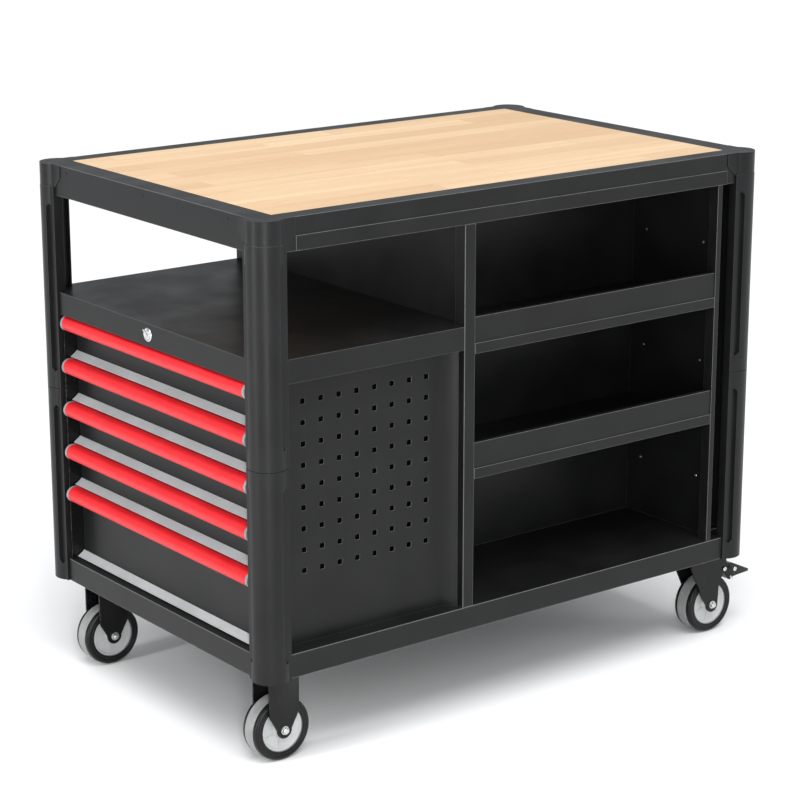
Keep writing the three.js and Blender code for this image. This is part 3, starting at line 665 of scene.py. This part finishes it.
def grown(name, seed, net, **values):
    """Runs a geometry tree on a seed mesh and gives the plain mesh that comes out."""
    holder = bpy.data.objects.new(name + "_seed", seed)
    bpy.context.scene.collection.objects.link(holder)
    modifier = holder.modifiers.new("grow", "NODES")
    modifier.node_group = net.tree
    for item in net.tree.interface.items_tree:
        if item.item_type == "SOCKET" and item.in_out == "INPUT" and item.name in values:
            modifier[item.identifier] = values[item.name]
    depsgraph = bpy.context.evaluated_depsgraph_get()
    result = bpy.data.meshes.new_from_object(
        holder.evaluated_get(depsgraph), preserve_all_data_layers=True, depsgraph=depsgraph)
    bpy.data.objects.remove(holder)
    bpy.data.meshes.remove(seed)
    result.name = name
    return result


def seed_mesh(name, points, directions):
    """A mesh of loose points that each carry a direction in an attribute called facing."""
    seed = bpy.data.meshes.new(name)
    seed.from_pydata([tuple(p) for p in points], [], [])
    facing_data = seed.attributes.new("facing", "FLOAT_VECTOR", "POINT")
    for slot, direction in zip(facing_data.data, directions):
        slot.vector = direction
    return seed


# %% Hubs
ribs, given, out = node_tree("hub_ribs", Length="Float", Width="Float", Depth="Float", Look="Material")
outward = ribs.add("GeometryNodeInputNamedAttribute", {"Name": "facing"}, data_type="FLOAT_VECTOR")
size = ribs.add("ShaderNodeCombineXYZ", {0: given["Length"], 1: given["Depth"], 2: given["Width"]})
rib = ribs.add("GeometryNodeMeshCube", {"Size": size.outputs[0]}).outputs[0]
turn = ribs.add("FunctionNodeAlignRotationToVector", {"Vector": outward.outputs[0]}, axis="X").outputs[0]
placed = ribs.add("GeometryNodeInstanceOnPoints", {
    "Points": given["Geometry"], "Instance": rib, "Rotation": turn}).outputs[0]
whole = ribs.add("GeometryNodeRealizeInstances", {"Geometry": placed}).outputs[0]
looked = ribs.add("GeometryNodeSetMaterial", {"Geometry": whole, "Material": given["Look"]}).outputs[0]
ribs.tree.links.new(looked, out["Geometry"])

HUB_HALF = [(36.9, 15.6), (36.4, 16.6), (35.0, 17.0), (33.6, 16.6), (32.9, 15.0), (31.8, 13.6), (16.0, 13.0),
            (14.0, 14.2), (12.6, 18.2), (11.6, 18.5), (6.0, 18.5)]
RIBS_ROUND = 6
RIB = {"inner": 13 * MM, "outer": 32.5 * MM, "width": 1.5 * MM, "depth": 29 * MM}

for kind in KINDS:
    for side in SIDES:
        centre = wheel_centre(kind, side)
        rounds = [(5.4, -18.5)] + [(r, -y) for r, y in HUB_HALF[::-1]] + HUB_HALF + [(5.4, 18.5)]
        shape = turned([(r * MM, y * MM) for r, y in rounds], centre, 72)
        middle = (RIB["inner"] + RIB["outer"]) / 2
        spokes = [Vector((math.cos(t), 0, math.sin(t)))
                  for t in (math.radians(20 + 360 * i / RIBS_ROUND) for i in range(RIBS_ROUND))]
        seed = seed_mesh("spokes", [centre + middle * s for s in spokes], spokes)
        spoke_mesh = grown("spokes", seed, ribs, Length=RIB["outer"] - RIB["inner"],
                           Width=RIB["width"], Depth=RIB["depth"], Look=PALE)
        shape.from_mesh(spoke_mesh)
        hub = finished(f"hub_{kind}_{side}", shape, [PALE], 0.25, fold=50)
        belongs(hub, f"{kind}_wheel_{side}", "grey_plastic", f"{kind}_hub_{side}")
print("hubs with", RIBS_ROUND, "ribs each side")

# %% [markdown]
# ## Axle bolts
# A zinc bolt through fork and wheel: a washer, a hexagon head with a chamfered crown on one side, and a
# locking nut with a domed end on the other.


# %% Axle bolts
def hexagon(centre, radius, start, end):
    """A hexagonal prism along y, with its corners cut back towards the outer end."""
    shape = bmesh.new()
    sign = 1 if end > start else -1
    steps = [(start, 1.0), (end - sign * 0.9 * MM, 1.0), (end, 0.88)]
    rings = []
    for along, grow in steps:
        turns = [math.radians(30 + 60 * k) for k in range(6)]
        rings.append([shape.verts.new(centre + Vector(
            (radius * grow * math.cos(t), along, radius * grow * math.sin(t)))) for t in turns])
    for one, two in zip(rings, rings[1:]):
        for k in range(6):
            shape.faces.new((one[k], one[(k + 1) % 6], two[(k + 1) % 6], two[k]))
    shape.faces.new(rings[0])
    shape.faces.new(rings[-1])
    bmesh.ops.recalc_face_normals(shape, faces=shape.faces)
    return shape


def added(shape, other):
    """Adds one bmesh to another and frees the second."""
    carrier = bpy.data.meshes.new("carrier")
    other.to_mesh(carrier)
    other.free()
    shape.from_mesh(carrier)
    bpy.data.meshes.remove(carrier)


HEAD_RADIUS, SHANK = 6.2 * MM, 4.9 * MM
for kind in KINDS:
    for side in SIDES:
        centre = wheel_centre(kind, side)
        low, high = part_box(f"{kind}_axle_{side}")
        reach = (high.y - low.y) / 2
        face = reach - 6.2 * MM
        shape = turned([(0.0, -reach + MM), (SHANK, -reach + MM), (SHANK, reach - MM), (0.0, reach - MM)],
                       centre, 32)
        for sign in (-1, 1):
            washer = [(5.2, 0.0), (7.0, 0.0), (7.0, 1.2), (5.2, 1.2)]
            added(shape, turned([(r * MM, sign * (face + a * MM)) for r, a in washer], centre, 40))
            added(shape, hexagon(centre, HEAD_RADIUS, sign * (face + 1.2 * MM), sign * (reach - 1.2 * MM)))
        dome = [(0.0, reach - 1.6 * MM), (4.6 * MM, reach - 1.6 * MM), (4.2 * MM, reach - 0.7 * MM),
                (3.2 * MM, reach - 0.1 * MM), (0.0, reach)]
        for sign in (-1, 1):
            added(shape, turned([(r, sign * along) for r, along in dome], centre, 32))
        body = f"swivel_{side}" if kind == "swivel" else BODY_OF[f"fixed_axle_{side}"]
        bolt = finished(f"axle_bolt_{kind}_{side}", shape, [ZINC], 0.2, fold=40)
        belongs(bolt, body, "bright_steel", f"{kind}_axle_{side}")
print("axle bolts reach", round(reach * 1000, 1), "mm each way")

# %% [markdown]
# ## Cam lock
# The lock sits in the folded edge over the drawers: a zinc ring on the sheet, and a plug that turns in it
# with a slot for the key and a short key bar. The ring stays with the bench and the plug with the lock.

# %% Cam lock
low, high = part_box("lock_plug")
sheet_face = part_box("cabinet_top")[0].x
LOCK_AT = Vector((sheet_face, (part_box("cabinet_top")[0].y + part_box("cabinet_top")[1].y) / 2, 0.633))
bezel = finished("lock_ring", turned([(r * MM, a * MM) for r, a in [
    (8.3, -0.05), (11.2, -0.05), (11.2, -0.7), (10.4, -1.6), (9.2, -1.9), (8.3, -1.3)]], LOCK_AT, 56, "x"),
    [ZINC], 0)
belongs(bezel, "bench", "bright_steel")
face = LOCK_AT + Vector((-1.4 * MM, 0, 0))
plug = turned([(r * MM, a * MM) for r, a in [
    (0.0, 14.0), (7.4, 14.0), (7.4, 0.4), (7.9, 0.0), (7.9, -0.5), (7.2, -0.9), (2.2, -0.9), (2.2, 0.8),
    (0.0, 0.8)]], face, 48, "x")
SLANT = math.radians(36)
bar_spots = [(-2.0, -1.3), (10.5, -1.3), (12.0, -0.6), (12.0, 0.6), (10.5, 1.3), (-2.0, 1.3)]
turned_spots = [Vector((a * math.cos(SLANT) - b * math.sin(SLANT), a * math.sin(SLANT) + b * math.cos(SLANT)))
                for a, b in bar_spots]
bar = bmesh.new()
layers = [[bar.verts.new((low.x + depth, LOCK_AT.y + s.x * MM, LOCK_AT.z + s.y * MM)) for s in turned_spots]
          for depth in (0.0, 2.2 * MM)]
for ring in layers:
    bar.faces.new(ring)
for k in range(len(bar_spots)):
    n = (k + 1) % len(bar_spots)
    bar.faces.new((layers[0][k], layers[0][n], layers[1][n], layers[1][k]))
bmesh.ops.recalc_face_normals(bar, faces=bar.faces)
added(plug, bar)
cam = from_cad("lock_plug")
tail = [v for v in cam.verts if v.co.x < LOCK_AT.x + 12 * MM]
bmesh.ops.delete(cam, geom=tail, context="VERTS")
bmesh.ops.holes_fill(cam, edges=cam.edges)
added(plug, cam)
lock = finished("lock_barrel", plug, [ZINC], 0.2, fold=40)
belongs(lock, "lock", "bright_steel", "lock_plug")
print("lock at", [round(v, 3) for v in LOCK_AT])

# %% [markdown]
# ## Perforated panel
# Square holes stand in a grid of eight by nine. Cutting seventy-two holes with booleans works, but it
# leaves long thin faces. Here one small tile with one hole is set on a grid of points by Geometry Nodes,
# the tiles are merged, and a plain border with matching points closes the sheet round them.

# %% Perforated panel
PITCH, HOLE, HOLE_ROUND = 33.4 * MM, 8.5 * MM, 1.3 * MM
COLUMNS, ROWS = 8, 9
PANEL_SHEET = 1.5 * MM
low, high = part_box("perforated_panel")
PANEL_FACE = high.y - PANEL_SHEET
FIRST = Vector((low.x + 87.4 * MM, low.z + 115.9 * MM))


def hole_outline():
    """Half a hole's width each way, with rounded corners, and the same rays met by the tile's edge."""
    inner, outer = [], []
    core = HOLE / 2 - HOLE_ROUND
    for quarter in range(4):
        middle = math.radians(45 + 90 * quarter)
        centre = core * Vector((math.copysign(1, math.cos(middle)), math.copysign(1, math.sin(middle))))
        for k in range(-2, 3):
            t = middle + math.radians(22.5 * k)
            point = centre + HOLE_ROUND * Vector((math.cos(t), math.sin(t)))
            inner.append(point)
            outer.append(point * (PITCH / 2) / max(abs(point.x), abs(point.y)))
    return inner, outer


inner, outer = hole_outline()
tile = bmesh.new()
faces_at = (0.0, PANEL_SHEET)
grid = {(depth, kind): [tile.verts.new((p.x, depth, p.y)) for p in points]
        for depth in faces_at for kind, points in (("inner", inner), ("outer", outer))}
count = len(inner)
for k in range(count):
    n = (k + 1) % count
    for depth in faces_at:
        tile.faces.new((grid[depth, "outer"][k], grid[depth, "outer"][n],
                        grid[depth, "inner"][n], grid[depth, "inner"][k]))
    front, rear = grid[faces_at[0], "inner"], grid[faces_at[1], "inner"]
    tile.faces.new((front[k], front[n], rear[n], rear[k]))
tile_mesh = bpy.data.meshes.new("hole_tile")
tile.to_mesh(tile_mesh)
tile.free()
tile_object = bpy.data.objects.new("hole_tile", tile_mesh)

holes, given, out = node_tree("hole_grid", Tile="Object", Look="Material")
piece = holes.add("GeometryNodeObjectInfo", {"Object": given["Tile"]}).outputs["Geometry"]
placed = holes.add("GeometryNodeInstanceOnPoints", {"Points": given["Geometry"], "Instance": piece}).outputs[0]
whole = holes.add("GeometryNodeRealizeInstances", {"Geometry": placed}).outputs[0]
merged = holes.add("GeometryNodeMergeByDistance", {"Geometry": whole, "Distance": 0.00002}).outputs[0]
looked = holes.add("GeometryNodeSetMaterial", {"Geometry": merged, "Material": given["Look"]}).outputs[0]
holes.tree.links.new(looked, out["Geometry"])
centres = [Vector((FIRST.x + PITCH * c, PANEL_FACE, FIRST.y + PITCH * r))
           for c in range(COLUMNS) for r in range(ROWS)]
seed = seed_mesh("hole_points", centres, centres)
panel_mesh = grown("holes", seed, holes, Tile=tile_object, Look=COAT)
bpy.data.objects.remove(tile_object)

panel = bmesh.new()
panel.from_mesh(panel_mesh)
x0, x1 = FIRST.x - PITCH / 2, FIRST.x + PITCH * (COLUMNS - 0.5)
z0, z1 = FIRST.y - PITCH / 2, FIRST.y + PITCH * (ROWS - 0.5)
bend = low.x + 352 * MM
steps = sorted({round(p.x, 9) for p in outer})
across = sorted({round(FIRST.x + PITCH * c + s, 7) for c in range(COLUMNS) for s in steps})
upward = sorted({round(FIRST.y + PITCH * r + s, 7) for r in range(ROWS) for s in steps})
across = [x0] + [x for x in across if x0 + 1e-6 < x < x1 - 1e-6] + [x1]
upward = [z0] + [z for z in upward if z0 + 1e-6 < z < z1 - 1e-6] + [z1]
slant = (high.x - bend) * Vector((1, -1))
for depth in faces_at:
    y = PANEL_FACE + depth
    borders = [
        [(low.x, low.z), (bend, low.z), (x1, z0)] + [(x, z0) for x in across[-2:0:-1]] + [(x0, z0)],
        [(bend, low.z), (bend, high.z), (x1, z1)] + [(x1, z) for z in upward[-2:0:-1]] + [(x1, z0)],
        [(bend, high.z), (low.x, high.z), (x0, z1)] + [(x, z1) for x in across[1:-1]] + [(x1, z1)],
        [(low.x, high.z), (low.x, low.z), (x0, z0)] + [(x0, z) for z in upward[1:-1]] + [(x0, z1)],
    ]
    for border in borders:
        panel.faces.new([panel.verts.new((x, y, z)) for x, z in border])
strip_low = low.y
walls = [[(low.x, PANEL_FACE), (bend, PANEL_FACE), (high.x, strip_low)],
         [(low.x, PANEL_FACE + PANEL_SHEET), (bend, PANEL_FACE + PANEL_SHEET),
          (high.x, strip_low + PANEL_SHEET)]]
for front_spot, rear_spot in ((walls[0][1:], walls[1][1:]),):
    for (ax, ay), (bx, by) in (front_spot, rear_spot):
        panel.faces.new([panel.verts.new(c) for c in
                         ((ax, ay, low.z), (bx, by, low.z), (bx, by, high.z), (ax, ay, high.z))])
for z in (low.z, high.z):
    for k in range(2):
        (ax, ay), (bx, by), (cx, cy), (dx, dy) = walls[0][k], walls[0][k + 1], walls[1][k + 1], walls[1][k]
        panel.faces.new([panel.verts.new(c) for c in ((ax, ay, z), (bx, by, z), (cx, cy, z), (dx, dy, z))])
for k in (0, 2):
    (ax, ay), (bx, by) = walls[0][k], walls[1][k]
    panel.faces.new([panel.verts.new(c) for c in
                     ((ax, ay, low.z), (bx, by, low.z), (bx, by, high.z), (ax, ay, high.z))])
bmesh.ops.remove_doubles(panel, verts=panel.verts, dist=3e-5)
bmesh.ops.recalc_face_normals(panel, faces=panel.faces)
open_edges = len([e for e in panel.edges if len(e.link_faces) != 2])
sheet = finished("panel_with_holes", panel, [COAT], 0.35)
belongs(sheet, "bench", "coating", "perforated_panel")
print("perforated panel:", COLUMNS * ROWS, "holes,", open_edges, "open edges")

# %% [markdown]
# ## Rivets
# Blind rivets hold the bay's wall, the upright and the caster pins. Each is the same small head: a flat
# dome with a dimple where the pin broke off. Geometry Nodes set the head on every marked point and turn
# it to face out of the sheet.

# %% Rivet head and tree
head = turned([(0.0, 0.0), (3.1 * MM, 0.0), (3.1 * MM, 0.35 * MM), (2.6 * MM, 0.8 * MM), (1.7 * MM, 1.1 * MM),
               (1.0 * MM, 1.1 * MM), (0.8 * MM, 0.5 * MM), (0.0, 0.45 * MM)], Vector((0, 0, 0)), 20)
for face in head.faces:
    face.smooth = True
head_mesh = bpy.data.meshes.new("rivet_head")
head.to_mesh(head_mesh)
head.free()
head_object = bpy.data.objects.new("rivet_head", head_mesh)

rivets, given, out = node_tree("rivets", Head="Object", Size="Float", Look="Material")
outward = rivets.add("GeometryNodeInputNamedAttribute", {"Name": "facing"}, data_type="FLOAT_VECTOR")
turn = rivets.add("FunctionNodeAlignRotationToVector", {"Vector": outward.outputs[0]}, axis="Y").outputs[0]
piece = rivets.add("GeometryNodeObjectInfo", {"Object": given["Head"]}).outputs["Geometry"]
placed = rivets.add("GeometryNodeInstanceOnPoints", {
    "Points": given["Geometry"], "Instance": piece, "Rotation": turn, "Scale": given["Size"]}).outputs[0]
whole = rivets.add("GeometryNodeRealizeInstances", {"Geometry": placed}).outputs[0]
looked = rivets.add("GeometryNodeSetMaterial", {"Geometry": whole, "Material": given["Look"]}).outputs[0]
rivets.tree.links.new(looked, out["Geometry"])


def rivet_set(name, body, slot, look, size, spots):
    """Rivets on one body; each spot is a point and the direction that it faces."""
    points, directions = zip(*spots)
    mesh = grown(name, seed_mesh(name, points, directions), rivets, Head=head_object, Size=size, Look=look)
    made = bpy.data.objects.new(name, mesh)
    bpy.context.scene.collection.objects.link(made)
    print(name, len(spots), "heads")
    return belongs(made, body, slot)


# %% [markdown]
# The heads stand where the sheets are joined: two columns of three in the bay's side wall, three in the
# recess of each upright, three in each end rail, and pins through the swivel forks.

# %% Rivet places
OUT_LEFT, OUT_RIGHT = Vector((-1, 0, 0)), Vector((1, 0, 0))
OUT_FRONT, OUT_REAR = Vector((0, -1, 0)), Vector((0, 1, 0))
side_low, side_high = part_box("bay_side")
wall = side_high.x - 1.5 * MM
LEVELS = [side_low.z + 102 * MM + 205.7 * MM * k for k in range(3)]
bay = [(Vector((wall, side_low.y + inset, z)), OUT_LEFT) for inset in (54 * MM, 194 * MM) for z in LEVELS]
uprights = []
for node, outer in (("column_front", 0), ("column_rear", 1)):
    low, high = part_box(node)
    y = low.y + 5 * MM if outer == 0 else high.y - 5 * MM
    uprights += [(Vector((low.x, y, low.z + 37 * MM + 175.5 * MM * k)), OUT_LEFT) for k in range(3)]
rivet_set("bay_rivets", "bench", "bright_steel", ZINC, 0.8, bay)
rivet_set("upright_rivets", "bench", "dark_steel", ENAMEL, 0.8, uprights)

frame_low, frame_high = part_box("top_frame")
RAIL_Z = frame_high.z - 10.5 * MM
middle_y = (frame_low.y + frame_high.y) / 2
rail_points = []
for x, out_way in ((frame_low.x, OUT_LEFT), (frame_high.x, OUT_RIGHT)):
    rail_points += [(Vector((x, middle_y + dy, RAIL_Z)), out_way) for dy in (-230 * MM, 5 * MM, 236 * MM)]
rivet_set("rail_rivets", "bench", "dark_steel", ENAMEL, 0.75, rail_points)

PEDAL_HEADS = {"pin": (1.3, [(0, 0), (25, -5)]), "rivets": (0.6, [(15, -17), (19, -21)])}
PIVOTS = {joint["child"]: joint["pos_m"] for joint in RECORD["behaviour"]["joints"] if "pos_m" in joint}
for side in SIDES:
    pivot = PIVOTS[f"brake_{side}"]
    low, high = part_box(f"brake_pedal_{side}")
    for kind, (size, places) in PEDAL_HEADS.items():
        heads = [(Vector((pivot[0] + x * MM, y, pivot[2] + z * MM)), out_way)
                 for x, z in places
                 for y, out_way in ((low.y + 0.3 * MM, OUT_FRONT), (high.y - 0.3 * MM, OUT_REAR))]
        rivet_set(f"pedal_{kind}_{side}", f"brake_{side}", "bright_steel", ZINC, size, heads)
bpy.data.objects.remove(head_object)

# %% [markdown]
# ## Floor
# A pale paper floor that runs far past the picture, so that it meets the sky without a line.

# %% Floor
floor_shape = bmesh.new()
bmesh.ops.create_grid(floor_shape, x_segments=2, y_segments=2, size=FLOOR_HALF)
floor_mesh = bpy.data.meshes.new("floor")
floor_shape.to_mesh(floor_mesh)
floor_shape.free()
floor = bpy.data.objects.new("floor", floor_mesh)
bpy.context.scene.collection.objects.link(floor)
PAPER, net, shader = material("pale_paper")
clouds = net.span(net.noise(net.place(), 3.0, 2.0), 0.0, 1.0, 0.86, 0.88)
tone = net.add("ShaderNodeCombineColor", {0: clouds, 1: clouds, 2: clouds}).outputs[0]
set_up(net, shader, None, Base_Color=tone, Roughness=0.9)
floor_mesh.materials.append(PAPER)
